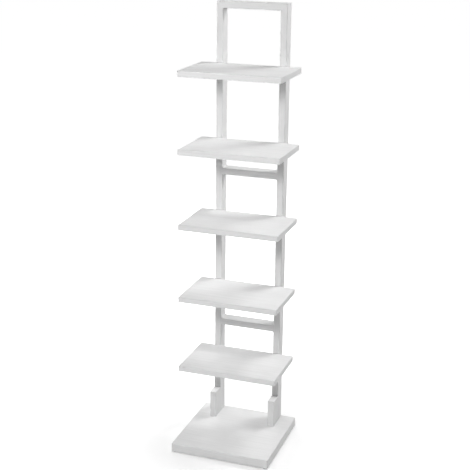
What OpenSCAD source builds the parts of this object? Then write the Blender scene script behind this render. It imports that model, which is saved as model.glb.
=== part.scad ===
// White metal shelving unit: a welded tube frame on a folded steel base, with five tray shelves.
// The front faces -Y and +Z is up. The origin is on the floor under the middle of the base.

/* [Base] */
// Width of the base, left to right
base_w = 300; // [280:5:400]
// Depth of the base, front to back
base_d = 288; // [260:4:400]
// Height of the base pan's folded sides
base_h = 28; // [21:1:40]
// Thickness of the base pan's sheet
base_sheet = 1.5; // [1:0.25:2.5]
// Width of the lip folded in under the base pan's front and sides
base_lip = 18; // [15:1:24]
// Outside bend radius of the base pan's edges
base_bend = 2.5; // [2.5:0.25:4]
// Thickness of the ballast plate
ballast_t = 5; // [3:0.5:8]
// Gap between the ballast plate and the base pan's lips and back
ballast_gap = 1; // [0.5:0.25:3]
// Distance of the front studs from the ballast plate's front and side edges
base_stud_inset = 24; // [12:1:50]

/* [Pads] */
// Height of the rubber pads under the base
pad_h = 2; // [1.5:0.5:6]
// Diameter of the rubber pads
pad_dia = 13; // [8:0.5:14]
// Distance of the pads' centres from the base pan's side and front or back edge
pad_inset = 10; // [8:0.5:12]

/* [Frame] */
// Overall width of the frame
frame_w = 208; // [180:2:240]
// Width of the frame tube, as seen from the front
tube_w = 20; // [16:1:25]
// Depth of the frame tube, front to back
tube_d = 40; // [30:1:50]
// Wall of the frame tube
tube_wall = 1.5; // [1:0.25:2.5]
// Outside corner radius of the frame tube
tube_r = 2; // [1:0.25:3]
// Distance from the base's back edge to the backs of the uprights
back_gap = 4; // [2:0.5:10]
// Height of the frame's top above the top shelf
top_space = 172; // [60:4:300]
// Height of the lower cross rail's underside above the first shelf
lower_rail_rise = 69; // [10:1:180]
// Height of the upper cross rail's underside above the third shelf
upper_rail_rise = 108; // [10:1:180]

/* [Feet of the frame] */
// Height of the foot posts above the base
post_h = 84; // [50:2:120]
// Thickness of the foot plates
foot_t = 6; // [4:1:10]
// Thickness of the post caps' visible tops
cap_t = 1.5; // [1:0.25:3]
// Depth that the post caps reach into the posts
cap_plug = 10; // [6:1:16]
// Thickness of the post caps' plug walls
cap_wall = 1.5; // [1:0.25:2.5]
// Gap between the post caps' plug and the tube around it
cap_gap = 0.3; // [0.1:0.1:0.6]

/* [Shelves] */
// Width of each shelf
shelf_w = 298; // [280:2:400]
// Depth of each shelf
shelf_d = 188; // [150:2:220]
// Height of each shelf's folded sides
shelf_h = 17; // [16:1:30]
// Thickness of the shelves' sheet
shelf_sheet = 1.2; // [0.8:0.1:1.6]
// Width of the lip folded in under each shelf's front and sides
shelf_lip = 12; // [8:1:16]
// Outside bend radius of the shelves' edges
shelf_bend = 2; // [1.6:0.1:3]
// Height of the first shelf's top above the floor
first_shelf_z = 257; // [220:1:350]
// Distance from each shelf to the next
shelf_pitch = 218; // [200:2:300]

/* [Arms] */
// Width of the arms under the shelves
arm_w = 20; // [16:1:25]
// Height of the arms
arm_h = 12; // [9:1:14]
// Thickness of the arms' steel
arm_t = 2; // [1.5:0.25:3]
// Distance from a shelf's front edge to the arms' free ends
arm_set_back = 25; // [20:1:60]
// Gap on each side of an arm where it passes through a shelf's back
arm_gap = 0.5; // [0.3:0.1:1.5]
// Distance from an arm's two ends to the studs nearest to them
stud_inset = 28; // [12:1:50]

/* [Fasteners] */
// Diameter of the studs welded under the shelves and the base
stud_dia = 5; // [3:0.5:5]
// Length that a stud stands out past its nut
stud_over = 1.5; // [0.5:0.25:2.5]
// Width across the flats of the nuts
nut_flats = 8; // [7:0.5:9]
// Height of the nuts, with their flange
nut_h = 4.7; // [3:0.1:5]
// Diameter of the nuts' flange
nut_flange_dia = 11; // [10:0.5:12]
// Thickness of the nuts' flange
nut_flange_t = 1.2; // [0.8:0.1:2]
// Diameter of the frame bolts
bolt_dia = 6; // [4:0.5:8]
// Length that a frame bolt stands out past its foot plate
bolt_over = 2; // [0.5:0.5:6]
// Width across the flats of the bolts' heads
bolt_flats = 10; // [9:0.5:13]
// Height of the bolts' heads
bolt_head_h = 4; // [3:0.25:6]
// Diameter of the bolts' washers
washer_dia = 14; // [13:0.5:18]
// Thickness of the bolts' washers
washer_t = 1.6; // [1:0.2:2.4]
// Gap around a stud or bolt in a plain hole, on each side
hole_gap = 0.4; // [0.2:0.1:0.8]
// Gap around a stud or bolt in its thread, on each side
thread_gap = 0.05; // [0.02:0.01:0.1]

/* [Hidden] */
$fn = 48;
eps = 1;
shelf_count = 5;
lower_rail_shelf = 1;
upper_rail_shelf = shelf_count - 2;
base_top = pad_h + base_h;
back_y = base_d / 2 - back_gap;
front_y = back_y - tube_d;
post_front_y = front_y - tube_d;
upright_x = (frame_w - tube_w) / 2;
inner_w = frame_w - 2 * tube_w;
tube_foot_z = base_top + foot_t;
unit_h = shelf_z(shelf_count) + top_space;
post_top_z = base_top + post_h;
arm_l = shelf_d - arm_set_back;
stud_l = arm_t + nut_h + stud_over;
base_stud_l = ballast_t + nut_h + stud_over;
bolt_l = washer_t + ballast_t + base_sheet + foot_t + bolt_over;
ballast_w = base_w - 2 * (base_sheet + base_lip + ballast_gap);
ballast_front_y = -base_d / 2 + base_sheet + base_lip + ballast_gap;
ballast_back_y = base_d / 2 - base_sheet - ballast_gap;
ballast_z = base_top - base_sheet - ballast_t;
base_stud_x = ballast_w / 2 - base_stud_inset;
base_stud_y = ballast_front_y + base_stud_inset;
foot_holes_y = [post_front_y + tube_d / 2, front_y + tube_d / 2];
arm_studs_y = [front_y - stud_inset, front_y - arm_l + stud_inset];
sides = [-1, 1];

// Height of a shelf's top above the floor, counted from 1 at the bottom
function shelf_z(n) = first_shelf_z + (n - 1) * shelf_pitch;

// Shared shapes

// Rectangle from the origin, with the radii of its corners counted from the origin, anticlockwise
module rounded_rect(w, h, radii) {
    corners = [[0, 0], [w, 0], [w, h], [0, h]];
    turns = [0, 90, 180, 270];
    difference() {
        square([w, h]);
        for (i = [0 : 3]) {
            if (radii[i] > 0) {
                translate(corners[i]) rotate(turns[i]) difference() {
                    square(2 * radii[i], center = true);
                    translate([radii[i], radii[i]]) circle(radii[i]);
                    translate([radii[i], -eps]) square(2 * radii[i] + eps);
                    translate([-eps, radii[i]]) square(2 * radii[i] + eps);
                }
            }
        }
    }
}

// Cross-section of the frame tube, centred, with a width in X and a depth in Y
module tube_section(w, d) {
    translate([-w / 2, -d / 2]) difference() {
        rounded_rect(w, d, [tube_r, tube_r, tube_r, tube_r]);
        translate([tube_wall, tube_wall]) square([w - 2 * tube_wall, d - 2 * tube_wall]);
    }
}

// Outline of the whole frame seen from the front, with its top corners ground round
module frame_outline() {
    translate([-frame_w / 2, 0]) rounded_rect(frame_w, unit_h, [0, 0, tube_r, tube_r]);
}

// A flat outline drawn in X and Z, given a thickness from y0 to y1
module along_y(y0, y1) {
    translate([0, y1, 0]) rotate([90, 0, 0]) linear_extrude(y1 - y0) children();
}

// A flat outline drawn in Y and Z, given a thickness from x0 to x1
module along_x(x0, x1) {
    translate([x0, 0, 0]) rotate([90, 0, 90]) linear_extrude(x1 - x0) children();
}

// Sheet folded down at all four sides and in again under the front and the sides.
// It stands on z = 0 with its back edge at y = 0.
module folded_tray(w, d, h, sheet, lip, bend) {
    difference() {
        intersection() {
            along_y(-d, 0) translate([-w / 2, 0]) rounded_rect(w, h, [bend, bend, bend, bend]);
            along_x(-w / 2, w / 2) translate([-d, 0]) rounded_rect(d, h, [bend, 0, bend, bend]);
            linear_extrude(h) translate([-w / 2, -d]) rounded_rect(w, d, [bend, bend, bend, bend]);
        }
        translate([-w / 2 + sheet, -d + sheet, sheet]) cube([w - 2 * sheet, d - 2 * sheet, h - 2 * sheet]);
        translate([-w / 2 + sheet + lip, -d + sheet + lip, -eps])
            cube([w - 2 * (sheet + lip), d - 2 * sheet - lip, h / 2]);
    }
}

// Straight length of frame tube lying in X between the uprights
module cross_rail(z) {
    along_x(-inner_w / 2, inner_w / 2)
        translate([front_y + tube_d / 2, z + tube_w / 2]) tube_section(tube_d, tube_w);
}

// Flange nut with its flange up, hanging below z = 0
module flange_nut() {
    difference() {
        union() {
            translate([0, 0, -nut_flange_t]) cylinder(h = nut_flange_t, d = nut_flange_dia);
            translate([0, 0, -nut_h]) rotate(30)
                cylinder(h = nut_h, d = nut_flats / cos(30), $fn = 6);
        }
        translate([0, 0, -nut_h - eps]) cylinder(h = nut_h + 2 * eps, d = stud_dia + 2 * thread_gap);
    }
}

// Hexagon bolt whose head lies under z = 0 and whose shank points up
module hex_bolt() {
    translate([0, 0, -bolt_head_h]) cylinder(h = bolt_head_h, d = bolt_flats / cos(30), $fn = 6);
    cylinder(h = bolt_l, d = bolt_dia);
}

// Puts its child at the places of the four frame bolts
module at_frame_bolts() {
    for (side = sides, y = foot_holes_y) translate([side * upright_x, y, 0]) children();
}

// Puts its child at the places of the base pan's two front studs
module at_base_studs() {
    for (side = sides) translate([side * base_stud_x, base_stud_y, 0]) children();
}

// Base

module base_pan() {
    color("white") difference() {
        translate([0, base_d / 2, pad_h])
            folded_tray(base_w, base_d, base_h, base_sheet, base_lip, base_bend);
        at_frame_bolts() translate([0, 0, base_top - base_sheet - eps])
            cylinder(h = base_sheet + 2 * eps, d = bolt_dia + 2 * hole_gap);
    }
}

module ballast_plate() {
    color("dimgray") difference() {
        translate([-ballast_w / 2, ballast_front_y, ballast_z])
            cube([ballast_w, ballast_back_y - ballast_front_y, ballast_t]);
        at_frame_bolts() translate([0, 0, ballast_z - eps])
            cylinder(h = ballast_t + 2 * eps, d = bolt_dia + 2 * hole_gap);
        at_base_studs() translate([0, 0, ballast_z - eps])
            cylinder(h = ballast_t + 2 * eps, d = stud_dia + 2 * hole_gap);
    }
}

module base_studs() {
    color("silver") at_base_studs() translate([0, 0, base_top - base_sheet - base_stud_l])
        cylinder(h = base_stud_l, d = stud_dia);
}

module base_nuts() {
    color("silver") at_base_studs() translate([0, 0, ballast_z]) flange_nut();
}

module base_pads() {
    color("dimgray") for (sx = sides, sy = sides)
        translate([sx * (base_w / 2 - pad_inset), sy * (base_d / 2 - pad_inset), 0])
            cylinder(h = pad_h, d = pad_dia);
}

// Feet of the frame

module foot_plate(side) {
    color("white") translate([side * upright_x, 0, base_top]) difference() {
        translate([-tube_w / 2, post_front_y]) linear_extrude(foot_t)
            rounded_rect(tube_w, 2 * tube_d, [tube_r, tube_r, tube_r, tube_r]);
        for (y = foot_holes_y) translate([0, y, -eps])
            cylinder(h = foot_t + 2 * eps, d = bolt_dia + 2 * thread_gap);
    }
}

module left_foot_plate() { foot_plate(-1); }
module right_foot_plate() { foot_plate(1); }

module frame_bolts() {
    color("silver") at_frame_bolts() translate([0, 0, ballast_z - washer_t]) hex_bolt();
}

module frame_washers() {
    color("silver") at_frame_bolts() translate([0, 0, ballast_z - washer_t]) difference() {
        cylinder(h = washer_t, d = washer_dia);
        translate([0, 0, -eps]) cylinder(h = washer_t + 2 * eps, d = bolt_dia + 2 * hole_gap);
    }
}

module foot_post(side) {
    color("white") translate([side * upright_x, post_front_y + tube_d / 2, tube_foot_z])
        linear_extrude(post_top_z - cap_t - tube_foot_z) tube_section(tube_w, tube_d);
}

module left_foot_post() { foot_post(-1); }
module right_foot_post() { foot_post(1); }

module post_cap(side) {
    plug_w = tube_w - 2 * (tube_wall + cap_gap);
    plug_d = tube_d - 2 * (tube_wall + cap_gap);
    color("white") translate([side * upright_x, post_front_y + tube_d / 2, post_top_z - cap_t]) {
        translate([-tube_w / 2, -tube_d / 2]) linear_extrude(cap_t)
            rounded_rect(tube_w, tube_d, [tube_r, tube_r, tube_r, tube_r]);
        difference() {
            translate([-plug_w / 2, -plug_d / 2, -cap_plug]) cube([plug_w, plug_d, cap_plug + cap_t / 2]);
            translate([-plug_w / 2 + cap_wall, -plug_d / 2 + cap_wall, -cap_plug - eps])
                cube([plug_w - 2 * cap_wall, plug_d - 2 * cap_wall, cap_plug + eps]);
        }
    }
}

module left_post_cap() { post_cap(-1); }
module right_post_cap() { post_cap(1); }

// Frame

module upright(side) {
    corner_x = side * frame_w / 2;
    color("white") difference() {
        intersection() {
            translate([side * upright_x, front_y + tube_d / 2, tube_foot_z])
                linear_extrude(unit_h - tube_foot_z) tube_section(tube_w, tube_d);
            along_y(front_y, back_y) frame_outline();
        }
        along_y(front_y - eps, back_y + eps)
            polygon([[corner_x, unit_h], [corner_x - side * tube_w, unit_h - tube_w],
                [corner_x - side * (tube_w + eps), unit_h - tube_w],
                [corner_x - side * (tube_w + eps), unit_h + eps], [corner_x, unit_h + eps]]);
    }
}

module left_upright() { upright(-1); }
module right_upright() { upright(1); }

module top_rail() {
    color("white") intersection() {
        along_x(-frame_w / 2, frame_w / 2)
            translate([front_y + tube_d / 2, unit_h - tube_w / 2]) tube_section(tube_d, tube_w);
        along_y(front_y, back_y) polygon([[-inner_w / 2, unit_h - tube_w], [inner_w / 2, unit_h - tube_w],
            [frame_w / 2, unit_h], [-frame_w / 2, unit_h]]);
        along_y(front_y, back_y) frame_outline();
    }
}

module upper_cross_rail() {
    color("white") cross_rail(shelf_z(upper_rail_shelf) + upper_rail_rise);
}

module lower_cross_rail() {
    color("white") cross_rail(shelf_z(lower_rail_shelf) + lower_rail_rise);
}

// Shelves

module shelf(n) {
    color("white") difference() {
        translate([0, front_y, shelf_z(n) - shelf_h])
            folded_tray(shelf_w, shelf_d, shelf_h, shelf_sheet, shelf_lip, shelf_bend);
        for (side = sides)
            translate([side * upright_x - arm_w / 2 - arm_gap, front_y - shelf_sheet - eps,
                shelf_z(n) - shelf_h - eps])
                cube([arm_w + 2 * arm_gap, shelf_sheet + 2 * eps, shelf_h - shelf_sheet + eps]);
    }
}

module shelf_1() { shelf(1); }
module shelf_2() { shelf(2); }
module shelf_3() { shelf(3); }
module shelf_4() { shelf(4); }
module shelf_5() { shelf(5); }

// Channel, open below, whose web carries a shelf
module arm(side, n) {
    top_z = shelf_z(n) - shelf_sheet;
    color("white") difference() {
        translate([side * upright_x, 0, 0]) along_y(front_y - arm_l, front_y)
            translate([-arm_w / 2, top_z - arm_h]) difference() {
                rounded_rect(arm_w, arm_h, [0, 0, arm_t, arm_t]);
                translate([arm_t, -eps]) square([arm_w - 2 * arm_t, arm_h - arm_t + eps]);
            }
        for (y = arm_studs_y) translate([side * upright_x, y, top_z - arm_t - eps])
            cylinder(h = arm_t + 2 * eps, d = stud_dia + 2 * hole_gap);
    }
}

module left_arm_1() { arm(-1, 1); }
module left_arm_2() { arm(-1, 2); }
module left_arm_3() { arm(-1, 3); }
module left_arm_4() { arm(-1, 4); }
module left_arm_5() { arm(-1, 5); }
module right_arm_1() { arm(1, 1); }
module right_arm_2() { arm(1, 2); }
module right_arm_3() { arm(1, 3); }
module right_arm_4() { arm(1, 4); }
module right_arm_5() { arm(1, 5); }

// Puts its child at each shelf stud's place on the underside of the shelf's sheet
module at_shelf_studs() {
    for (n = [1 : shelf_count], side = sides, y = arm_studs_y)
        translate([side * upright_x, y, shelf_z(n) - shelf_sheet]) children();
}

module shelf_studs() {
    color("silver") at_shelf_studs() translate([0, 0, -stud_l]) cylinder(h = stud_l, d = stud_dia);
}

module shelf_nuts() {
    color("silver") at_shelf_studs() translate([0, 0, -arm_t]) flange_nut();
}

base_pan();
ballast_plate();
base_studs();
base_nuts();
base_pads();
left_foot_plate();
right_foot_plate();
frame_bolts();
frame_washers();
left_upright();
right_upright();
top_rail();
upper_cross_rail();
lower_cross_rail();
left_foot_post();
right_foot_post();
left_post_cap();
right_post_cap();
shelf_1();
shelf_2();
shelf_3();
shelf_4();
shelf_5();
left_arm_1();
left_arm_2();
left_arm_3();
left_arm_4();
left_arm_5();
right_arm_1();
right_arm_2();
right_arm_3();
right_arm_4();
right_arm_5();
shelf_studs();
shelf_nuts();
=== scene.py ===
import math

import bmesh
import bpy
from mathutils import Matrix, Vector


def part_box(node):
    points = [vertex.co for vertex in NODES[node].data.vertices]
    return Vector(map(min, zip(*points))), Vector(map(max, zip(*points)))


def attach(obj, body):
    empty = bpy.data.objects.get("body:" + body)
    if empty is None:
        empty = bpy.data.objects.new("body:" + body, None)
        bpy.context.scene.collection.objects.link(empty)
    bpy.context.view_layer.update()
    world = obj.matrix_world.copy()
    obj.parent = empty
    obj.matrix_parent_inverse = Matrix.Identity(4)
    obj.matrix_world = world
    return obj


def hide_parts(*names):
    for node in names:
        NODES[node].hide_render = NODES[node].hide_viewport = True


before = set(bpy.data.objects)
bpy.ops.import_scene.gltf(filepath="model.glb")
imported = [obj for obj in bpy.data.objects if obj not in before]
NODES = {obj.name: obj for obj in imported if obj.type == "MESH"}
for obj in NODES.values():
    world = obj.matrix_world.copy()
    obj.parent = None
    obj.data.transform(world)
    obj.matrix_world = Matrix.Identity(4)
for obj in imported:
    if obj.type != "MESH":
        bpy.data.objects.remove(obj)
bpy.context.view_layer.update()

bl_info = {
    "name": "Metal Shelving Unit",
    "version": (1, 0, 0),
    "blender": (4, 5, 0),
    "location": "View3D > Sidebar > Shelving",
    "description": "Coats a steel shelving unit, adds its welds, caps, pads and fasteners, and lights it",
    "category": "Object",
}

MM = 0.001
BODY = "root"
TRAYS = ("shelf_1", "shelf_2", "shelf_3", "shelf_4", "shelf_5")
STANDING_TUBES = ("left_upright", "right_upright", "left_foot_post", "right_foot_post")
LYING_TUBES = ("top_rail", "upper_cross_rail", "lower_cross_rail")
CROSS_RAILS = ("upper_cross_rail", "lower_cross_rail")
FOOT_PLATES = ("left_foot_plate", "right_foot_plate")
ARMS = tuple(f"{side}_arm_{n}" for side in ("left", "right") for n in range(1, 6))
X_AXIS = Vector((1.0, 0.0, 0.0))
Y_AXIS = Vector((0.0, 1.0, 0.0))
Z_AXIS = Vector((0.0, 0.0, 1.0))


# Colours and nodes

FACING = 0.7


def linear(hex_value):
    """Linear RGB for an sRGB hex value such as E8E8E6."""
    channels = [int(hex_value[i:i + 2], 16) / 255 for i in (0, 2, 4)]
    return tuple(c / 12.92 if c <= 0.04045 else ((c + 0.055) / 1.055) ** 2.4 for c in channels)


def add_node(tree, kind, settings=None, values=None, links=None):
    """Adds one node with its settings and input values, and links its inputs from other nodes' outputs."""
    node = tree.nodes.new(kind)
    for name, value in (settings or {}).items():
        setattr(node, name, value)
    for name, value in (values or {}).items():
        node.inputs[name].default_value = value
    for name, source in (links or {}).items():
        tree.links.new(source, node.inputs[name])
    return node


def new_material(name):
    """An empty node material with its Principled shader wired to the output."""
    material = bpy.data.materials.new(name)
    material.use_nodes = True
    tree = material.node_tree
    tree.nodes.clear()
    shader = add_node(tree, "ShaderNodeBsdfPrincipled")
    add_node(tree, "ShaderNodeOutputMaterial", links={"Surface": shader.outputs["BSDF"]})
    return material, tree, shader


def noise(tree, size_mm, detail):
    """Noise whose features are size_mm across in X, Y and Z."""
    coords = add_node(tree, "ShaderNodeTexCoord")
    scale = [1 / (size * MM) for size in size_mm]
    mapping = add_node(tree, "ShaderNodeMapping", values={"Scale": scale},
                       links={"Vector": coords.outputs["Object"]})
    texture = add_node(tree, "ShaderNodeTexNoise", values={"Scale": 1.0, "Detail": detail},
                       links={"Vector": mapping.outputs["Vector"]})
    return texture.outputs["Fac"]


def added(tree, first, second, share):
    """The first pattern plus a share of the second, counted from the second's middle tone."""
    centred = add_node(tree, "ShaderNodeMath", {"operation": "SUBTRACT"}, {1: 0.5}, {0: second})
    return add_node(tree, "ShaderNodeMath", {"operation": "MULTIPLY_ADD"}, {1: share},
                    {0: centred.outputs["Value"], 2: first}).outputs["Value"]


def spread(tree, pattern, low=0.0, high=1.0, width=0.2):
    """A pattern that swings by width round one half, stretched to run from low to high."""
    return add_node(tree, "ShaderNodeMapRange",
                    values={"From Min": 0.5 - width, "From Max": 0.5 + width, "To Min": low, "To Max": high},
                    links={"Value": pattern}).outputs["Result"]


def tint(tree, pattern, first, second):
    """A colour that a pattern takes from the first to the second."""
    mix = add_node(tree, "ShaderNodeMix", {"data_type": "RGBA"}, links={"Factor": pattern})
    mix.inputs["A"].default_value = (*first, 1.0)
    mix.inputs["B"].default_value = (*second, 1.0)
    return mix.outputs["Result"]


def relief(tree, pattern, depth_mm, strength):
    """Surface normal of a relief that is depth_mm deep."""
    return add_node(tree, "ShaderNodeBump", values={"Strength": strength, "Distance": depth_mm * MM},
                    links={"Height": pattern}).outputs["Normal"]


def wire(tree, shader, sources):
    """Links patterns to the shader's inputs."""
    for name, source in sources.items():
        tree.links.new(source, shader.inputs[name])


def along(axis, across_mm, along_mm):
    """Size of a pattern that is across_mm wide and runs along_mm along one axis."""
    return [along_mm if i == axis else across_mm for i in range(3)]


def facing(tree, axis):
    """1 on faces that look along an axis, and 0 elsewhere."""
    coords = add_node(tree, "ShaderNodeTexCoord")
    parts = add_node(tree, "ShaderNodeSeparateXYZ", links={"Vector": coords.outputs["Normal"]})
    lean = add_node(tree, "ShaderNodeMath", {"operation": "ABSOLUTE"}, links={0: parts.outputs[axis]})
    return add_node(tree, "ShaderNodeMath", {"operation": "GREATER_THAN"}, {1: FACING},
                    {0: lean.outputs["Value"]}).outputs["Value"]


# Finishes

COAT_BAND_MM = 3.0
COAT_BAND_LENGTH_MM = 170.0
COAT_CLOUD_MM = 48.0
COAT_CLOUD_SHARE = 0.6
COAT_PEEL_MM = 1.3
COAT_PEEL_DEPTH_MM = 0.04
COAT_THIN = 0.93
COAT_ROUGHNESS = (0.7, 0.8)


def powder_coat(name, colour, axis, end_axis):
    """Powder coat on steel: electrostatic powder baked to a matt film with a fine orange peel.

    The film follows the long faint marks that drawing and rolling leave along the stock, which show as
    slow bands of tone, and the peel breaks up its highlights. The peel is drawn a little coarser than the
    real one. The bands run along one axis, and on the faces that look along that axis they run along the
    end axis.
    """
    material, tree, shader = new_material(name)
    straight = noise(tree, along(axis, COAT_BAND_MM, COAT_BAND_LENGTH_MM), detail=2.0)
    turned = noise(tree, along(end_axis, COAT_BAND_MM, COAT_BAND_LENGTH_MM), detail=2.0)
    bands = add_node(tree, "ShaderNodeMix", {"data_type": "FLOAT"},
                     links={"Factor": facing(tree, axis), "A": straight, "B": turned}).outputs["Result"]
    clouds = noise(tree, [COAT_CLOUD_MM] * 3, detail=3.0)
    film = added(tree, bands, clouds, COAT_CLOUD_SHARE)
    peel = noise(tree, [COAT_PEEL_MM] * 3, detail=1.0)
    thin = tuple(c * COAT_THIN for c in colour)
    wire(tree, shader, {
        "Base Color": tint(tree, spread(tree, film), thin, colour),
        "Roughness": spread(tree, clouds, *COAT_ROUGHNESS),
        "Normal": relief(tree, peel, COAT_PEEL_DEPTH_MM, strength=0.5),
    })
    shader.inputs["Specular IOR Level"].default_value = 0.4
    return material


MOULD_GRAIN_MM = 0.8
MOULD_GRAIN_DEPTH_MM = 0.03
MOULD_FLOW_MM = 22.0
MOULD_FLOW_SHADE = 0.97
MOULD_ROUGHNESS = (0.42, 0.56)


def moulded_plastic(name, colour):
    """Injection moulded polyethylene: a spark eroded mould gives an even matt grain and faint flow marks.

    The grain is drawn coarser than the real one.
    """
    material, tree, shader = new_material(name)
    flow = noise(tree, [MOULD_FLOW_MM] * 3, detail=2.0)
    grain = noise(tree, [MOULD_GRAIN_MM] * 3, detail=1.0)
    shaded = tuple(c * MOULD_FLOW_SHADE for c in colour)
    wire(tree, shader, {
        "Base Color": tint(tree, spread(tree, flow), shaded, colour),
        "Roughness": spread(tree, grain, *MOULD_ROUGHNESS),
        "Normal": relief(tree, grain, MOULD_GRAIN_DEPTH_MM, strength=0.6),
    })
    shader.inputs["IOR"].default_value = 1.51
    return material


ZINC_SPANGLE_MM = 2.4
ZINC_BRUSH_MM = 0.5
ZINC_BRUSH_LENGTH_MM = 4.0
ZINC_BRUSH_DEPTH_MM = 0.01
ZINC_BRUSH_SHARE = 0.5
ZINC_STRAW = (1.0, 0.97, 0.88)
ZINC_ROUGHNESS = (0.22, 0.4)


def zinc_plate(name, colour):
    """Bright electroplated zinc, clear passivated: a satin metal whose film is faintly blue and straw.

    Faint lines of the drawn steel show through it, coarser than the real ones.
    """
    material, tree, shader = new_material(name)
    film = noise(tree, [ZINC_SPANGLE_MM] * 3, detail=3.0)
    lines = noise(tree, along(2, ZINC_BRUSH_MM, ZINC_BRUSH_LENGTH_MM), detail=2.0)
    straw = tuple(c * share for c, share in zip(colour, ZINC_STRAW))
    wire(tree, shader, {
        "Base Color": tint(tree, spread(tree, film), straw, colour),
        "Roughness": spread(tree, added(tree, film, lines, ZINC_BRUSH_SHARE), *ZINC_ROUGHNESS),
        "Normal": relief(tree, lines, ZINC_BRUSH_DEPTH_MM, strength=0.5),
    })
    shader.inputs["Metallic"].default_value = 1.0
    return material


SCALE_PATCH_MM = 26.0
SCALE_PATCH_LENGTH_MM = 78.0
SCALE_SPECK_MM = 1.6
SCALE_SPECK_DEPTH_MM = 0.04
SCALE_SPECK_SHARE = 0.5
SCALE_PALE = 2.2
SCALE_HAZE = 0.012
SCALE_ROUGHNESS = (0.36, 0.62)


def hot_rolled_steel(name, colour):
    """Oiled hot rolled plate: blue black mill scale, patchy, with specks where the scale has flaked."""
    material, tree, shader = new_material(name)
    patches = noise(tree, along(0, SCALE_PATCH_MM, SCALE_PATCH_LENGTH_MM), detail=4.0)
    specks = noise(tree, [SCALE_SPECK_MM] * 3, detail=2.0)
    scale = added(tree, patches, specks, SCALE_SPECK_SHARE)
    pale = tuple(c * SCALE_PALE + SCALE_HAZE for c in colour)
    wire(tree, shader, {
        "Base Color": tint(tree, spread(tree, scale, width=0.25), colour, pale),
        "Roughness": spread(tree, scale, *SCALE_ROUGHNESS),
        "Normal": relief(tree, specks, SCALE_SPECK_DEPTH_MM, strength=0.7),
    })
    shader.inputs["Metallic"].default_value = 0.6
    return material


RUBBER_GRAIN_MM = 0.6
RUBBER_GRAIN_DEPTH_MM = 0.05
RUBBER_BLOOM_MM = 6.0
RUBBER_DUSTY = 1.9
RUBBER_HAZE = 0.004
RUBBER_ROUGHNESS = (0.68, 0.86)


def moulded_rubber(name, colour):
    """Moulded nitrile rubber: dull black with a fine grain and a little bloom.

    The grain is drawn coarser than the real one.
    """
    material, tree, shader = new_material(name)
    grain = noise(tree, [RUBBER_GRAIN_MM] * 3, detail=2.0)
    bloom = noise(tree, [RUBBER_BLOOM_MM] * 3, detail=3.0)
    dusty = tuple(c * RUBBER_DUSTY + RUBBER_HAZE for c in colour)
    wire(tree, shader, {
        "Base Color": tint(tree, spread(tree, bloom), colour, dusty),
        "Roughness": spread(tree, grain, *RUBBER_ROUGHNESS),
        "Normal": relief(tree, grain, RUBBER_GRAIN_DEPTH_MM, strength=0.7),
    })
    return material


# Modelling helpers

ELEMENTS = {"VERT": "verts", "EDGE": "edges", "FACE": "faces"}
TINY = 1e-6
LEVEL = 0.9
SHARP = math.radians(60.0)


def deselect_all():
    """Leaves no object selected, so that the next operator acts only on what it adds."""
    if bpy.context.mode != "OBJECT":
        bpy.ops.object.mode_set(mode="OBJECT")
    bpy.ops.object.select_all(action="DESELECT")


def pick(piece):
    """Leaves one object selected and active, so that the next operator acts on it alone."""
    deselect_all()
    piece.select_set(True)
    bpy.context.view_layer.objects.active = piece


def settle(piece):
    """Puts a piece's place, turn and size into its mesh."""
    pick(piece)
    bpy.ops.object.transform_apply(location=True, rotation=True, scale=True)


def start_box(low, high):
    """A box between two corners, with its place in its mesh."""
    deselect_all()
    bpy.ops.mesh.primitive_cube_add(size=1.0, location=(Vector(low) + Vector(high)) / 2,
                                    scale=Vector(high) - Vector(low))
    piece = bpy.context.active_object
    settle(piece)
    return piece


def start_cylinder(radius, low_z, high_z, sides, top_radius=None):
    """A cylinder or a cut cone round the Z axis."""
    deselect_all()
    bpy.ops.mesh.primitive_cone_add(vertices=sides, radius1=radius, depth=high_z - low_z,
                                    radius2=radius if top_radius is None else top_radius,
                                    location=(0.0, 0.0, (low_z + high_z) / 2))
    piece = bpy.context.active_object
    settle(piece)
    return piece


def edit(piece):
    """Opens a piece's mesh for editing, with nothing selected."""
    pick(piece)
    bpy.ops.object.mode_set(mode="EDIT")
    bpy.ops.mesh.select_all(action="DESELECT")


def choose(piece, kind, wanted):
    """Selects the vertices, edges or faces of a piece in edit mode for which wanted(element) holds."""
    bpy.ops.mesh.select_mode(type=kind)
    bpy.ops.mesh.select_all(action="DESELECT")
    mesh = bmesh.from_edit_mesh(piece.data)
    for element in getattr(mesh, ELEMENTS[kind]):
        if wanted(element):
            element.select_set(True)
    mesh.select_flush_mode()
    bmesh.update_edit_mesh(piece.data)


def stands(edge):
    """Whether an edge isn't level."""
    return abs(edge.verts[0].co.z - edge.verts[1].co.z) > TINY


def lies_at(edge, height):
    """Whether an edge lies level at a height."""
    return all(abs(v.co.z - height) < TINY for v in edge.verts)


def is_sharp(edge):
    """Whether the two faces at an edge meet at a sharp angle."""
    return edge.calc_face_angle(0.0) > SHARP


def cut(place, normal, keep_front=False):
    """Cuts the whole mesh along a plane. With keep_front, what lies behind goes and the cut is closed."""
    bpy.ops.mesh.select_all(action="SELECT")
    bpy.ops.mesh.bisect(plane_co=place, plane_no=normal, use_fill=keep_front, clear_inner=keep_front,
                        threshold=TINY / 10)


def modify(piece, kind, **settings):
    """Adds a modifier with its settings and applies it."""
    pick(piece)
    bpy.ops.object.modifier_add(type=kind)
    modifier = piece.modifiers[-1]
    for name, value in settings.items():
        setattr(modifier, name, value)
    bpy.ops.object.modifier_apply(modifier=modifier.name)


def combine(piece, tool, operation):
    """Joins, cuts or trims a piece with a tool shape, which is used up."""
    modify(piece, "BOOLEAN", object=tool, operation=operation, solver="EXACT")
    bpy.data.objects.remove(tool)


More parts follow.
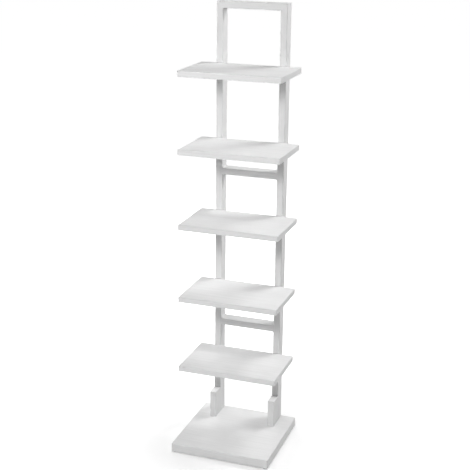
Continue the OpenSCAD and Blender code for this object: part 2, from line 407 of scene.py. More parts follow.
def close(piece):
    """Merges a piece's doubled vertices and turns all its faces outwards."""
    edit(piece)
    bpy.ops.mesh.select_all(action="SELECT")
    bpy.ops.mesh.remove_doubles(threshold=TINY)
    bpy.ops.mesh.normals_make_consistent(inside=False)
    bpy.ops.object.mode_set(mode="OBJECT")


def copies(model, turns):
    """Copies of a piece, each with its own mesh, moved by one matrix each. The piece itself is used up."""
    close(model)
    made = []
    for turn in turns:
        pick(model)
        bpy.ops.object.duplicate(linked=False)
        twin = bpy.context.active_object
        twin.matrix_world = turn
        settle(twin)
        made.append(twin)
    bpy.data.objects.remove(model)
    return made


def join(parts):
    """Joins pieces into one."""
    deselect_all()
    for part in parts:
        part.select_set(True)
    bpy.context.view_layer.objects.active = parts[0]
    bpy.ops.object.join()
    return parts[0]


def dress(piece, name, material, replaced=(), crease=30.0):
    """Names a finished piece, smooths its curves, and gives it its finish and its body."""
    pick(piece)
    bpy.ops.object.shade_smooth_by_angle(angle=math.radians(crease))
    piece.name = name
    piece.data.name = name
    piece.data.materials.clear()
    piece.data.materials.append(material)
    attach(piece, BODY)
    if replaced:
        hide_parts(*replaced)


def coat_node(name, material):
    """Gives a CAD node its finish."""
    NODES[name].data.materials.clear()
    NODES[name].data.materials.append(material)


def solids(node):
    """Lowest and highest corner of each separate solid in a CAD node."""
    mesh = bmesh.new()
    mesh.from_mesh(NODES[node].data)
    bmesh.ops.remove_doubles(mesh, verts=mesh.verts, dist=TINY)
    left = set(mesh.verts)
    boxes = []
    while left:
        island = [left.pop()]
        for vert in island:
            for edge in vert.link_edges:
                other = edge.other_vert(vert)
                if other in left:
                    left.remove(other)
                    island.append(other)
        low = Vector(min(v.co[i] for v in island) for i in range(3))
        high = Vector(max(v.co[i] for v in island) for i in range(3))
        boxes.append((low, high))
    mesh.free()
    return sorted(boxes, key=lambda box: tuple(round(c, 4) for c in box[0]))


def stand_on(box, at_top=False):
    """Place of a shape that was modelled round the Z axis, on the foot or the top of a solid's box."""
    low, high = box
    return Matrix.Translation(((low.x + high.x) / 2, (low.y + high.y) / 2, high.z if at_top else low.z))


def on_each(boxes, model):
    """One piece with a copy of a shape on the foot of each solid's box."""
    return join(copies(model, [stand_on(box) for box in boxes]))


# Welds

BEAD_SIDES = 28
BEAD_DROP = 0.35  # share of the leg by which a bead's axis lies below the corner
BEAD_END = 0.55  # size of a bead's end against its middle
RIPPLE_RISE = 1.06  # size of a ripple's crest against its ends
WELD_CREASE = 60.0  # degrees


def rippled_bar(length, radius, ripple, drop):
    """Round bar along X, centred, that swells once in each ripple. Its axis lies drop below the X axis."""
    count = max(2, round(length / ripple))
    pitch = length / count
    first = (pitch - length) / 2
    deselect_all()
    bpy.ops.mesh.primitive_cylinder_add(vertices=BEAD_SIDES, radius=radius, depth=pitch,
                                        end_fill_type="NOTHING", location=(first, 0.0, -drop),
                                        rotation=(0.0, math.pi / 2, 0.0))
    bar = bpy.context.active_object
    settle(bar)
    edit(bar)
    choose(bar, "EDGE", lambda e: abs(e.verts[0].co.x - e.verts[1].co.x) > pitch / 2)
    bpy.ops.mesh.subdivide(number_cuts=1)
    choose(bar, "VERT", lambda v: abs(v.co.x - first) < pitch / 4)
    bpy.ops.transform.resize(value=(1.0, RIPPLE_RISE, RIPPLE_RISE), center_override=(first, 0.0, -drop))
    modify(bar, "ARRAY", use_relative_offset=False, use_constant_offset=True, count=count,
           constant_offset_displace=(pitch, 0.0, 0.0), use_merge_vertices=True, merge_threshold=TINY)
    edit(bar)
    for end in (-length / 2, length / 2):
        choose(bar, "VERT", lambda v: abs(v.co.x - end) < pitch / 4)
        bpy.ops.transform.resize(value=(1.0, BEAD_END, BEAD_END), center_override=(end, 0.0, -drop))
    bpy.ops.mesh.select_all(action="SELECT")
    bpy.ops.mesh.fill_holes(sides=0)
    return bar


def fillet_bead(length, leg, ripple):
    """Fillet weld along X in a square corner, with its two legs on the planes at 45 degrees below Z."""
    drop = leg * BEAD_DROP
    half = leg / math.sqrt(2.0)
    bar = rippled_bar(length, math.hypot(half, half + drop), ripple, drop)
    cut((0.0, 0.0, 0.0), (0.0, 1.0, 1.0), keep_front=True)
    cut((0.0, 0.0, 0.0), (0.0, -1.0, 1.0), keep_front=True)
    bpy.ops.object.mode_set(mode="OBJECT")
    return bar


def groove_bead(length, half_width, rise, ripple):
    """Weld that fills the rounded groove between two tubes, along X, and crowns only a little over it."""
    bar = rippled_bar(length, half_width, ripple, 0.0)
    choose(bar, "VERT", lambda v: v.co.z > TINY)
    bpy.ops.transform.resize(value=(1.0, 1.0, rise / half_width), center_override=(0.0, 0.0, 0.0))
    bpy.ops.object.mode_set(mode="OBJECT")
    return bar


def lay(place, run, crown):
    """Turn and place of a bead whose length runs one way and whose crown points another."""
    run, crown = Vector(run).normalized(), Vector(crown).normalized()
    turn = Matrix((run, crown.cross(run), crown)).transposed().to_4x4()
    return Matrix.Translation(place) @ turn


# Fasteners

THREAD_STEPS = 24
THREAD_DEPTH = 0.54  # of the pitch
THREAD_SPARE_TURNS = 3
THREAD_TIP = 0.84  # size of the tip against the rod
HEX_CHAMFER = 0.95  # turned circle against the flats
HEX_CONE = math.radians(60.0)
ROUND_SIDES = 48


def threaded_rod(diameter, pitch, length):
    """Rod up the Z axis with a rolled thread, from a full end at 0 to a tapered tip at its length."""
    deselect_all()
    bpy.ops.mesh.primitive_plane_add(size=pitch, rotation=(math.pi / 2, 0.0, 0.0))
    rod = bpy.context.active_object
    settle(rod)
    edit(rod)
    choose(rod, "VERT", lambda v: v.co.x < 0.0)
    bpy.ops.mesh.delete(type="VERT")
    bpy.ops.mesh.select_all(action="SELECT")
    bpy.ops.mesh.subdivide(number_cuts=1)
    root = diameter / 2 - THREAD_DEPTH * pitch
    bpy.ops.mesh.select_all(action="SELECT")
    bpy.ops.transform.translate(value=(root - pitch / 2, 0.0, 0.0))
    choose(rod, "VERT", lambda v: abs(v.co.z) < pitch / 4)
    bpy.ops.transform.translate(value=(diameter / 2 - root, 0.0, 0.0))
    turns = math.ceil(length / pitch) + THREAD_SPARE_TURNS
    modify(rod, "SCREW", axis="Z", angle=2 * math.pi, screw_offset=pitch, iterations=turns,
           steps=THREAD_STEPS, render_steps=THREAD_STEPS, use_merge_vertices=True, merge_threshold=TINY)
    edit(rod)
    bpy.ops.mesh.select_all(action="SELECT")
    bpy.ops.mesh.remove_doubles(threshold=TINY)
    bpy.ops.transform.translate(value=(0.0, 0.0, -THREAD_SPARE_TURNS / 2 * pitch))
    cut((0.0, 0.0, 0.0), (0.0, 0.0, 1.0), keep_front=True)
    cut((0.0, 0.0, length), (0.0, 0.0, -1.0), keep_front=True)
    choose(rod, "VERT", lambda v: v.co.z > length - pitch / 2)
    bpy.ops.transform.resize(value=(THREAD_TIP, THREAD_TIP, 1.0), center_override=(0.0, 0.0, length))
    bpy.ops.object.mode_set(mode="OBJECT")
    return rod


def hexagon(flats, height):
    """Hexagon bar up the Z axis from 0, its corners turned off at the foot, as on a nut or a bolt head."""
    bar = start_cylinder(flats / math.sqrt(3.0), 0.0, height, 6)
    radius = HEX_CHAMFER * flats / 2
    cone = start_cylinder(radius, 0.0, height, ROUND_SIDES, radius + height * math.tan(HEX_CONE))
    cone.rotation_euler.z = math.pi / ROUND_SIDES
    settle(cone)
    combine(bar, cone, "INTERSECT")
    close(bar)
    return bar


def chamfered_hole(piece, radius, height, chamfer):
    """Drills a piece up the Z axis from 0 and countersinks the hole at its lower end."""
    combine(piece, start_cylinder(radius, -chamfer, height + chamfer, ROUND_SIDES), "DIFFERENCE")
    sink = start_cylinder(radius + 2 * chamfer, -chamfer, 2 * chamfer, ROUND_SIDES, radius - chamfer)
    combine(piece, sink, "DIFFERENCE")


# Sizes and colours that a user may change

class ShelvingSizes(bpy.types.PropertyGroup):
    """Sizes of the welds, caps, pads and fasteners, in metres"""
    weld_leg: bpy.props.FloatProperty(
        name="Weld leg", description="Leg of the fillet welds", default=2.6 * MM, min=1.5 * MM, max=5 * MM,
        unit="LENGTH", precision=4)
    weld_ripple: bpy.props.FloatProperty(
        name="Weld ripple", description="Length of one ripple of a weld", default=1.6 * MM, min=0.8 * MM,
        max=4 * MM, unit="LENGTH", precision=4)
    weld_rise: bpy.props.FloatProperty(
        name="Weld rise", description="How far the welds in the grooves stand proud of the tubes",
        default=0.15 * MM, min=0.05 * MM, max=1 * MM, unit="LENGTH", precision=5)
    tube_corner: bpy.props.FloatProperty(
        name="Tube corner", description="Outside corner radius of the frame tube", default=2 * MM,
        min=1 * MM, max=3 * MM, unit="LENGTH", precision=4)
    tube_wall: bpy.props.FloatProperty(
        name="Tube wall", description="Wall of the frame tube with the gap round a cap's plug",
        default=1.8 * MM, min=1 * MM, max=3 * MM, unit="LENGTH", precision=4)
    cap_edge: bpy.props.FloatProperty(
        name="Cap edge", description="Radius of the post caps' top edges", default=1.1 * MM, min=0.3 * MM,
        max=1.3 * MM, unit="LENGTH", precision=4)
    pad_edge: bpy.props.FloatProperty(
        name="Pad edge", description="Radius of the pads' lower edges", default=0.6 * MM, min=0.2 * MM,
        max=1 * MM, unit="LENGTH", precision=4)
    stud_pitch: bpy.props.FloatProperty(
        name="Stud pitch", description="Pitch of the studs' thread", default=0.8 * MM, min=0.5 * MM,
        max=1.5 * MM, unit="LENGTH", precision=4)
    bolt_pitch: bpy.props.FloatProperty(
        name="Bolt pitch", description="Pitch of the frame bolts' thread", default=1 * MM, min=0.5 * MM,
        max=1.5 * MM, unit="LENGTH", precision=4)


class ShelvingColours(bpy.types.PropertyGroup):
    """Colours of the finishes"""
    coat: bpy.props.FloatVectorProperty(
        name="Powder coat", description="Colour of the frame, the shelves and the base", subtype="COLOR",
        size=3, min=0.0, max=1.0, default=linear("E8E8E8"))
    cap: bpy.props.FloatVectorProperty(
        name="Caps", description="Colour of the post caps", subtype="COLOR", size=3, min=0.0, max=1.0,
        default=linear("E8E8E8"))
    zinc: bpy.props.FloatVectorProperty(
        name="Zinc", description="Colour of the plated fasteners", subtype="COLOR", size=3, min=0.0, max=1.0,
        default=linear("C6C9CC"))
    plate: bpy.props.FloatVectorProperty(
        name="Ballast plate", description="Colour of the hot rolled plate", subtype="COLOR", size=3, min=0.0,
        max=1.0, default=linear("26282B"))
    rubber: bpy.props.FloatVectorProperty(
        name="Pads", description="Colour of the rubber pads", subtype="COLOR", size=3, min=0.0, max=1.0,
        default=linear("222222"))


def sizes():
    """The sizes that the user has set."""
    return bpy.context.scene.shelving_sizes


def colours():
    """The colours that the user has set."""
    return bpy.context.scene.shelving_colours


def finish(name, make, *values):
    """A finish by its name, made when it is first asked for."""
    return bpy.data.materials.get(name) or make(name, *values)


def upright_coat():
    """Coat on what stands: its bands run up it."""
    return finish("white_powder_coat_upright", powder_coat, tuple(colours().coat), 2, 1)


def lying_coat():
    """Coat on what lies across: its bands run from side to side."""
    return finish("white_powder_coat_lying", powder_coat, tuple(colours().coat), 0, 1)


def depth_coat():
    """Coat on the foot plates and the arms: its bands run from front to back."""
    return finish("white_powder_coat_depth", powder_coat, tuple(colours().coat), 1, 0)


def zinc():
    """Plate on the fasteners."""
    return finish("bright_zinc_plate", zinc_plate, tuple(colours().zinc))


# Stage

CAMERA_PLACE = (0.9425, -2.7289, 1.5719)
CAMERA_YAW = 19.184
CAMERA_PITCH = -17.646
CAMERA_ROLL = 0.654
CAMERA_FOCAL_PX = 1055.08
IMAGE_PX = 470
SENSOR_MM = 36.0
FLOOR_SIDE = 60.0
GLOW_NEAR = 0.2  # strength of the floor's glow near the unit, where 1 is white
GLOW_NEAR_REACH = 0.21  # metres from the unit's middle
GLOW_FAR_REACH = 0.75  # metres from the unit's middle to where the floor is white
PAPER = (*linear("F4F4F4"), 1.0)
WHITE = (*linear("FFFFFF"), 1.0)
LAMP_AIM = Vector((0.0, 0.0, 0.65))
SOFTBOXES = {
    "front_softbox": {"bearing": 0, "height": 33, "distance": 3.0, "side": 0.6, "watts": 17.0},
    "near_front_box": {"bearing": 0, "height": 28, "distance": 2.2, "side": 0.5, "watts": 13.0},
    "left_front_box": {"bearing": 340, "height": 30, "distance": 2.2, "side": 0.5, "watts": 7.5},
    "key_softbox": {"bearing": 140, "height": 36, "distance": 1.7, "side": 0.9, "watts": 6.5},
    "high_key_box": {"bearing": 140, "height": 45, "distance": 2.3, "side": 0.5, "watts": 12.0},
    "right_key_box": {"bearing": 126, "height": 30, "distance": 2.8, "side": 1.2, "watts": 17.5},
    "back_key_box": {"bearing": 160, "height": 25, "distance": 2.3, "side": 0.5, "watts": 3.0},
    "left_fill": {"bearing": 270, "height": 8, "distance": 3.0, "side": 1.2, "watts": 29.0},
    "high_left_fill": {"bearing": 300, "height": 50, "distance": 3.0, "side": 1.2, "watts": 7.0},
    "high_back_fill": {"bearing": 240, "height": 40, "distance": 3.0, "side": 1.2, "watts": 14.0},
    "low_back_fill": {"bearing": 210, "height": 8, "distance": 3.0, "side": 1.2, "watts": 17.5},
    "top_fill": {"bearing": 0, "height": 90, "distance": 3.0, "side": 1.2, "watts": 5.0},
}


def camera_matrix():
    """Camera place and turn that give the photograph's view."""
    yaw = math.radians(CAMERA_YAW)
    pitch = math.radians(CAMERA_PITCH)
    roll = math.radians(CAMERA_ROLL)
    ahead = Vector((-math.sin(yaw) * math.cos(pitch), math.cos(yaw) * math.cos(pitch), math.sin(pitch)))
    level = Vector((math.cos(yaw), math.sin(yaw), 0.0))
    above = level.cross(ahead)
    right = level * math.cos(roll) + above * math.sin(roll)
    up = above * math.cos(roll) - level * math.sin(roll)
    turn = Matrix((right, up, -ahead)).transposed().to_4x4()
    return Matrix.Translation(CAMERA_PLACE) @ turn


def add_camera():
    """Adds the camera at the photograph's viewing angle."""
    bpy.ops.object.camera_add()
    camera = bpy.context.active_object
    camera.name = "photo_camera"
    camera.matrix_world = camera_matrix()
    camera.data.sensor_width = SENSOR_MM
    camera.data.lens = SENSOR_MM * CAMERA_FOCAL_PX / IMAGE_PX
    bpy.context.scene.camera = camera


def add_softbox(name, bearing, height, distance, side, watts):
    """Adds a square area light that faces the middle of the unit.

    Its bearing is in degrees from the front round to the right, and its height in degrees above level.
    """
    turn, rise = math.radians(bearing), math.radians(height)
    away = Vector((math.sin(turn) * math.cos(rise), -math.cos(turn) * math.cos(rise), math.sin(rise)))
    bpy.ops.object.light_add(type="AREA", location=LAMP_AIM + distance * away)
    lamp = bpy.context.active_object
    lamp.name = name
    lamp.data.size = side
    lamp.data.energy = watts
    lamp.rotation_euler = away.to_track_quat("Z", "Y").to_euler()


def seen_by_eye(tree):
    """1 for camera, glossy and transmission rays, and 0 for the light that falls on the object."""
    path = add_node(tree, "ShaderNodeLightPath")
    seen = add_node(tree, "ShaderNodeMath", {"operation": "MAXIMUM"},
                    links={0: path.outputs["Is Camera Ray"], 1: path.outputs["Is Glossy Ray"]})
    through = path.outputs["Is Transmission Ray"]
    return add_node(tree, "ShaderNodeMath", {"operation": "MAXIMUM"},
                    links={0: seen.outputs["Value"], 1: through}).outputs["Value"]


def paper_sweep():
    """Matt white paper: it glows white to the eye alone, less so near the unit, where its shade shows.

    From below it is clear, so that the unit's underside can be looked at.
    """
    material = bpy.data.materials.new("white_paper_sweep")
    material.use_nodes = True
    tree = material.node_tree
    tree.nodes.clear()
    paper = add_node(tree, "ShaderNodeBsdfDiffuse", values={"Color": PAPER})
    coords = add_node(tree, "ShaderNodeTexCoord")
    away = add_node(tree, "ShaderNodeVectorMath", {"operation": "LENGTH"},
                    links={0: coords.outputs["Object"]})
    glow = add_node(tree, "ShaderNodeMapRange",
                    values={"From Min": GLOW_NEAR_REACH, "From Max": GLOW_FAR_REACH, "To Min": GLOW_NEAR,
                            "To Max": 1.0}, links={"Value": away.outputs["Value"]})
    strength = add_node(tree, "ShaderNodeMath", {"operation": "MULTIPLY"},
                        links={0: glow.outputs["Result"], 1: seen_by_eye(tree)})
    white = add_node(tree, "ShaderNodeEmission", values={"Color": WHITE},
                     links={"Strength": strength.outputs["Value"]})
    lit = add_node(tree, "ShaderNodeAddShader",
                   links={0: paper.outputs["BSDF"], 1: white.outputs["Emission"]})
    side = add_node(tree, "ShaderNodeNewGeometry")
    clear = add_node(tree, "ShaderNodeBsdfTransparent")
    both = add_node(tree, "ShaderNodeMixShader", links={0: side.outputs["Backfacing"],
                                                       1: lit.outputs["Shader"], 2: clear.outputs["BSDF"]})
    add_node(tree, "ShaderNodeOutputMaterial", links={"Surface": both.outputs["Shader"]})
    return material


def add_world():
    """White surroundings that the eye sees and the object isn't lit by."""
    world = bpy.data.worlds.new("studio_world")
    bpy.context.scene.world = world
    world.use_nodes = True
    tree = world.node_tree
    tree.nodes.clear()
    dark = add_node(tree, "ShaderNodeBackground", values={"Color": WHITE, "Strength": 0.0})
    white = add_node(tree, "ShaderNodeBackground", values={"Color": WHITE, "Strength": 1.0})
    mix = add_node(tree, "ShaderNodeMixShader", links={0: seen_by_eye(tree), 1: dark.outputs["Background"],
                                                      2: white.outputs["Background"]})
    add_node(tree, "ShaderNodeOutputWorld", links={"Surface": mix.outputs["Shader"]})


class ShelvingStage(bpy.types.Operator):
    """Add the floor, the world, the soft lights and the camera"""
    bl_idname = "shelving.stage"
    bl_label = "Stage"

    def execute(self, context):
        deselect_all()
        bpy.ops.mesh.primitive_plane_add(size=FLOOR_SIDE, location=(0.0, 0.0, 0.0))
        floor = context.active_object
        floor.name = "floor"
        floor.data.materials.append(paper_sweep())
        add_world()
        for name, values in SOFTBOXES.items():
            add_softbox(name, **values)
        add_camera()
        context.scene.view_settings.view_transform = "Standard"
        return {"FINISHED"}


# Frame, shelves and base

class ShelvingFrame(bpy.types.Operator):
    """Powder coat the frame's tubes, foot plates and arms"""
    bl_idname = "shelving.frame"
    bl_label = "Frame"

    def execute(self, context):
        for name in STANDING_TUBES:
            coat_node(name, upright_coat())
        for name in LYING_TUBES:
            coat_node(name, lying_coat())
        for name in FOOT_PLATES + ARMS:
            coat_node(name, depth_coat())
        return {"FINISHED"}


class ShelvingTrays(bpy.types.Operator):
    """Powder coat the shelves and the base"""
    bl_idname = "shelving.trays"
    bl_label = "Shelves and base"

    def execute(self, context):
        for name in TRAYS + ("base_pan",):
            coat_node(name, lying_coat())
        return {"FINISHED"}


class ShelvingBallast(bpy.types.Operator):
    """Finish the ballast plate"""
    bl_idname = "shelving.ballast"
    bl_label = "Ballast plate"

    def execute(self, context):
        steel = finish("black_hot_rolled_steel", hot_rolled_steel, tuple(colours().plate))
        coat_node("ballast_plate", steel)
        return {"FINISHED"}


# Small pieces: their fixed sizes, and their shares of the sizes above

RAIL_SEAM_SHIFT = 0.4  # of the tube's corner radius
RAIL_SEAM_HALF = 0.7  # of the tube's corner radius
FOOT_RING_HALF = 1.2 * MM
FOOT_RING_ROUND = 0.8  # of half the ring's height
FOOT_RING_RIM = 1.0 * MM
ARM_WALL = 2.0 * MM
ARM_WELD_LEG = 0.8  # of the fillet welds' leg
CAP_SEAM = 0.2 * MM
CAP_WALL = 1.5 * MM
CAP_RIBS = 3
CAP_RIB_HEIGHT = 0.7 * MM
CAP_RIB_RISE = 0.25 * MM
PAD_RIM = 0.3  # of the pad's radius
PAD_SLOPE = 0.05  # of the pad's radius
PAD_HOLLOW = 0.25  # of the pad's height
NUT_FLATS = 8.0 * MM
NUT_FLANGE = 1.2 * MM
NUT_SKIRT = 0.84  # of the flange's radius
NUT_EDGE = 0.3 * MM
THREAD_GAP = 0.05 * MM
BOLT_DIAMETER = 6.0 * MM
WASHER_BORE = 3.4 * MM
WASHER_EDGE = 0.2 * MM


def on_rim(edge, low, high):
    """Whether an edge of a foot ring is sharp and level and lies on the ring's outside."""
    outer = all(min(v.co.x - low.x, high.x - v.co.x, v.co.y - low.y, high.y - v.co.y) < FOOT_RING_RIM
                for v in edge.verts)
    return outer and is_sharp(edge) and not stands(edge)


def on_rib(face, middle, rib_z):
    """Whether an upright face of a cap's plug lies in a rib's height and on the plug's outside."""
    place = face.calc_center_median()
    outside = (place - middle).dot(face.normal) > 0.0
    return rib_z < place.z < rib_z + CAP_RIB_HEIGHT and outside and abs(face.normal.z) < 1 - LEVEL


class ShelvingRailWelds(bpy.types.Operator):
    """Weld the ends of the cross rails to the uprights"""
    bl_idname = "shelving.rail_welds"
    bl_label = "Rail welds"

    def execute(self, context):
        leg, ripple, corner = sizes().weld_leg, sizes().weld_ripple, sizes().tube_corner
        fillets, grooves = [], []
        for rail in CROSS_RAILS:
            low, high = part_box(rail)
            middle = (low + high) / 2
            for x, inward in ((low.x, X_AXIS), (high.x, -X_AXIS)):
                fillets.append(lay((x, middle.y, high.z), Y_AXIS, inward + Z_AXIS))
                fillets.append(lay((x, middle.y, low.z), Y_AXIS, inward - Z_AXIS))
                seam_x = x - inward.x * corner * RAIL_SEAM_SHIFT
                grooves.append(lay((seam_x, low.y, middle.z), Z_AXIS, -Y_AXIS))
                grooves.append(lay((seam_x, high.y, middle.z), Z_AXIS, Y_AXIS))
        low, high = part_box(CROSS_RAILS[0])
        bead = fillet_bead(high.y - low.y - corner, leg, ripple)
        seam = groove_bead(high.z - low.z - corner, corner * RAIL_SEAM_HALF, sizes().weld_rise, ripple)
        piece = join(copies(bead, fillets) + copies(seam, grooves))
        dress(piece, "rail_welds", upright_coat(), crease=WELD_CREASE)
        return {"FINISHED"}


class ShelvingPostWelds(bpy.types.Operator):
    """Weld the foot posts to the uprights, and both to the foot plates"""
    bl_idname = "shelving.post_welds"
    bl_label = "Post welds"

    def execute(self, context):
        corner, rise = sizes().tube_corner, sizes().weld_rise
        seams, rings = [], []
        for side in ("left", "right"):
            low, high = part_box(f"{side}_foot_post")
            for x, outward in ((low.x, -X_AXIS), (high.x, X_AXIS)):
                seams.append(lay((x, high.y, (low.z + high.z) / 2), Z_AXIS, outward))
        low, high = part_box("left_foot_post")
        beads = copies(groove_bead(high.z - low.z, corner, rise, sizes().weld_ripple), seams)
        for plate in FOOT_PLATES:
            rings.append(self.foot_ring(plate, corner, rise))
            close(rings[-1])
        dress(join(beads + rings), "post_welds", upright_coat(), crease=WELD_CREASE)
        return {"FINISHED"}

    def foot_ring(self, plate, corner, rise):
        """Flat ring of weld round the joint between a foot plate and the tubes that stand on it."""
        low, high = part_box(plate)
        half = Vector((0.0, 0.0, FOOT_RING_HALF))
        proud = Vector((rise, rise, 0.0))
        ring = start_box(Vector((low.x, low.y, high.z)) - half - proud, high + half + proud)
        edit(ring)
        choose(ring, "EDGE", stands)
        bpy.ops.mesh.bevel(offset=corner + rise, segments=8, affect="EDGES")
        choose(ring, "FACE", lambda f: abs(f.normal.z) > LEVEL)
        bpy.ops.mesh.inset(thickness=corner)
        bpy.ops.mesh.bridge_edge_loops()
        choose(ring, "EDGE", lambda e: on_rim(e, low, high))
        bpy.ops.mesh.bevel(offset=FOOT_RING_HALF * FOOT_RING_ROUND, segments=3, affect="EDGES")
        bpy.ops.object.mode_set(mode="OBJECT")
        return ring


class ShelvingArmWelds(bpy.types.Operator):
    """Weld the arms to the uprights, inside their channels"""
    bl_idname = "shelving.arm_welds"
    bl_label = "Arm welds"

    def execute(self, context):
        leg, ripple = sizes().weld_leg * ARM_WELD_LEG, sizes().weld_ripple
        webs, flanges = [], []
        for arm in ARMS:
            low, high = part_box(arm)
            middle_x, flange_z = (low.x + high.x) / 2, (low.z + high.z - ARM_WALL) / 2
            webs.append(lay((middle_x, high.y, high.z - ARM_WALL), X_AXIS, -Y_AXIS - Z_AXIS))
            flanges.append(lay((low.x + ARM_WALL, high.y, flange_z), Z_AXIS, X_AXIS - Y_AXIS))
            flanges.append(lay((high.x - ARM_WALL, high.y, flange_z), Z_AXIS, -X_AXIS - Y_AXIS))
        low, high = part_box(ARMS[0])
        web = fillet_bead(high.x - low.x - 2 * ARM_WALL, leg, ripple)
        flange = fillet_bead(high.z - low.z - ARM_WALL, leg, ripple)
        piece = join(copies(web, webs) + copies(flange, flanges))
        dress(piece, "arm_welds", upright_coat(), crease=WELD_CREASE)
        return {"FINISHED"}


class ShelvingPostCaps(bpy.types.Operator):
    """Mould the caps that close the foot posts"""
    bl_idname = "shelving.post_caps"
    bl_label = "Post caps"

    def execute(self, context):
        plastic = finish("white_moulded_plastic", moulded_plastic, tuple(colours().cap))
        for side in ("left", "right"):
            node = f"{side}_post_cap"
            piece = self.cap(*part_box(node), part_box(f"{side}_foot_post")[1].z)
            close(piece)
            dress(piece, f"{side}_post_cap_moulded", plastic, (node,))
        return {"FINISHED"}

    def cap(self, low, high, seat_z):
        """Cap with a crowned top from seat_z up, and a hollow ribbed plug below it."""
        cap = start_box(Vector((low.x, low.y, seat_z)), high)
        edit(cap)
        choose(cap, "EDGE", stands)
        bpy.ops.mesh.bevel(offset=sizes().tube_corner, segments=8, affect="EDGES")
        choose(cap, "EDGE", lambda e: lies_at(e, high.z))
        bpy.ops.mesh.bevel(offset=sizes().cap_edge, segments=5, affect="EDGES")
        choose(cap, "EDGE", lambda e: lies_at(e, seat_z))
        bpy.ops.mesh.bevel(offset=CAP_SEAM, segments=2, affect="EDGES")
        choose(cap, "FACE", lambda f: f.normal.z < -LEVEL and f.calc_center_median().z < seat_z + TINY)
        bpy.ops.mesh.inset(thickness=sizes().tube_wall - CAP_SEAM)
        bpy.ops.mesh.extrude_region_move(TRANSFORM_OT_translate={"value": (0.0, 0.0, low.z - seat_z)})
        bpy.ops.mesh.inset(thickness=CAP_WALL)
        bpy.ops.mesh.extrude_region_move(TRANSFORM_OT_translate={"value": (0.0, 0.0, seat_z - low.z)})
        middle = (low + high) / 2
        for rib in range(CAP_RIBS):
            rib_z = seat_z - (rib + 1) * (seat_z - low.z) / (CAP_RIBS + 1)
            for z in (rib_z, rib_z + CAP_RIB_HEIGHT):
                cut((0.0, 0.0, z), (0.0, 0.0, 1.0))
            choose(cap, "FACE", lambda f: on_rib(f, middle, rib_z))
            bpy.ops.mesh.extrude_region_shrink_fatten(TRANSFORM_OT_shrink_fatten={"value": CAP_RIB_RISE})
        bpy.ops.object.mode_set(mode="OBJECT")
        return cap


class ShelvingBasePads(bpy.types.Operator):
    """Mould the rubber pads under the base"""
    bl_idname = "shelving.base_pads"
    bl_label = "Base pads"

    def execute(self, context):
        boxes = solids("base_pads")
        low, high = boxes[0]
        radius, height = (high.x - low.x) / 2, high.z - low.z
        pad = start_cylinder(radius, 0.0, height, ROUND_SIDES)
        edit(pad)
        choose(pad, "EDGE", lambda e: lies_at(e, 0.0))
        bpy.ops.mesh.bevel(offset=sizes().pad_edge, segments=4, affect="EDGES")
        choose(pad, "FACE", lambda f: f.normal.z < -LEVEL and len(f.verts) == ROUND_SIDES)
        bpy.ops.mesh.inset(thickness=radius * PAD_RIM)
        bpy.ops.mesh.inset(thickness=radius * PAD_SLOPE)
        bpy.ops.transform.translate(value=(0.0, 0.0, height * PAD_HOLLOW))
        bpy.ops.object.mode_set(mode="OBJECT")
        rubber = finish("moulded_nitrile_rubber", moulded_rubber, tuple(colours().rubber))
        dress(on_each(boxes, pad), "base_pads_moulded", rubber, ("base_pads",))
        return {"FINISHED"}


class ShelvingStuds(bpy.types.Operator):
    """Weld the threaded studs under the shelves and the base"""
    bl_idname = "shelving.studs"
    bl_label = "Studs"

    def execute(self, context):
        for node in ("shelf_studs", "base_studs"):
            boxes = solids(node)
            low, high = boxes[0]
            stud = threaded_rod(high.x - low.x, sizes().stud_pitch, high.z - low.z)
            upside_down = Matrix.Rotation(math.pi, 4, "X")
            turns = [stand_on(box, at_top=True) @ upside_down for box in boxes]
            dress(join(copies(stud, turns)), f"{node}_threaded", zinc(), (node,))
        return {"FINISHED"}


class ShelvingNuts(bpy.types.Operator):
    """Screw the flange nuts on the studs"""
    bl_idname = "shelving.nuts"
    bl_label = "Flange nuts"

    def execute(self, context):
        stud_low, stud_high = solids("shelf_studs")[0]
        bore = (stud_high.x - stud_low.x) / 2 + THREAD_GAP
        for node in ("shelf_nuts", "base_nuts"):
            boxes = solids(node)
            low, high = boxes[0]
            height, flange = high.z - low.z, (high.x - low.x) / 2
            nut = hexagon(NUT_FLATS, height - NUT_FLANGE / 2)
            skirt = start_cylinder(flange * NUT_SKIRT, height - NUT_FLANGE, height, ROUND_SIDES, flange)
            edit(skirt)
            choose(skirt, "EDGE", lambda e: lies_at(e, height))
            bpy.ops.mesh.bevel(offset=NUT_EDGE, segments=3, affect="EDGES")
            combine(nut, skirt, "UNION")
            chamfered_hole(nut, bore, height, NUT_EDGE)
            dress(on_each(boxes, nut), f"{node}_flanged", zinc(), (node,))
        return {"FINISHED"}


class ShelvingFrameBolts(bpy.types.Operator):
    """Fit the hexagon bolts that hold the frame down on the base"""
    bl_idname = "shelving.frame_bolts"
    bl_label = "Frame bolts"

    def execute(self, context):
        boxes = solids("frame_bolts")
        low, high = boxes[0]
        head_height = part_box("frame_washers")[0].z - low.z
        flats = min(high.x - low.x, high.y - low.y)
        bolt = hexagon(flats, head_height)
        rod = threaded_rod(BOLT_DIAMETER, sizes().bolt_pitch, high.z - low.z - head_height / 2)
        combine(bolt, copies(rod, [Matrix.Translation((0.0, 0.0, head_height / 2))])[0], "UNION")
        dress(on_each(boxes, bolt), "frame_bolts_threaded", zinc(), ("frame_bolts",))
        return {"FINISHED"}


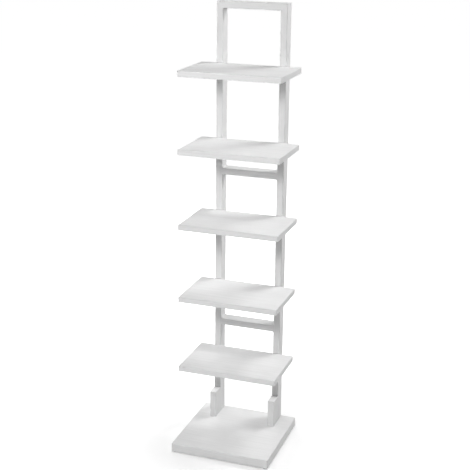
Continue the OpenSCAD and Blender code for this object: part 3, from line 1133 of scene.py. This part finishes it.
class ShelvingFrameWashers(bpy.types.Operator):
    """Fit the washers under the frame bolts' heads"""
    bl_idname = "shelving.frame_washers"
    bl_label = "Washers"

    def execute(self, context):
        boxes = solids("frame_washers")
        low, high = boxes[0]
        radius, height = (high.x - low.x) / 2, high.z - low.z
        washer = start_cylinder(radius, 0.0, height, ROUND_SIDES)
        edit(washer)
        choose(washer, "FACE", lambda f: abs(f.normal.z) > LEVEL)
        bpy.ops.mesh.inset(thickness=radius - WASHER_BORE)
        bpy.ops.mesh.bridge_edge_loops()
        choose(washer, "EDGE", is_sharp)
        bpy.ops.mesh.bevel(offset=WASHER_EDGE, segments=2, affect="EDGES")
        bpy.ops.object.mode_set(mode="OBJECT")
        dress(on_each(boxes, washer), "frame_washers_punched", zinc(),
              ("frame_washers",))
        return {"FINISHED"}


STEPS = (ShelvingStage, ShelvingFrame, ShelvingTrays, ShelvingBallast, ShelvingRailWelds, ShelvingPostWelds,
         ShelvingArmWelds, ShelvingPostCaps, ShelvingBasePads, ShelvingStuds, ShelvingNuts,
         ShelvingFrameBolts, ShelvingFrameWashers)


class ShelvingPanel(bpy.types.Panel):
    """Sizes, colours and steps of the shelving unit"""
    bl_idname = "VIEW3D_PT_shelving"
    bl_label = "Shelving Unit"
    bl_space_type = "VIEW_3D"
    bl_region_type = "UI"
    bl_category = "Shelving"

    def draw(self, context):
        for group in (context.scene.shelving_sizes, context.scene.shelving_colours):
            box = self.layout.box()
            for name in group.__annotations__:
                box.prop(group, name)
        for step in STEPS:
            self.layout.operator(step.bl_idname)


CLASSES = (ShelvingSizes, ShelvingColours, *STEPS, ShelvingPanel)


def register():
    """Registers the add-on's classes and its properties."""
    for cls in CLASSES:
        bpy.utils.register_class(cls)
    bpy.types.Scene.shelving_sizes = bpy.props.PointerProperty(type=ShelvingSizes)
    bpy.types.Scene.shelving_colours = bpy.props.PointerProperty(type=ShelvingColours)


def unregister():
    """Takes the add-on's properties and classes out again."""
    del bpy.types.Scene.shelving_colours
    del bpy.types.Scene.shelving_sizes
    for cls in reversed(CLASSES):
        bpy.utils.unregister_class(cls)


def main():
    """Builds the dressed shelving unit."""
    register()
    bpy.ops.shelving.stage()
    bpy.ops.shelving.frame()
    bpy.ops.shelving.trays()
    bpy.ops.shelving.ballast()
    bpy.ops.shelving.rail_welds()
    bpy.ops.shelving.post_welds()
    bpy.ops.shelving.arm_welds()
    bpy.ops.shelving.post_caps()
    bpy.ops.shelving.base_pads()
    bpy.ops.shelving.studs()
    bpy.ops.shelving.nuts()
    bpy.ops.shelving.frame_bolts()
    bpy.ops.shelving.frame_washers()


if __name__ == "__main__":
    main()
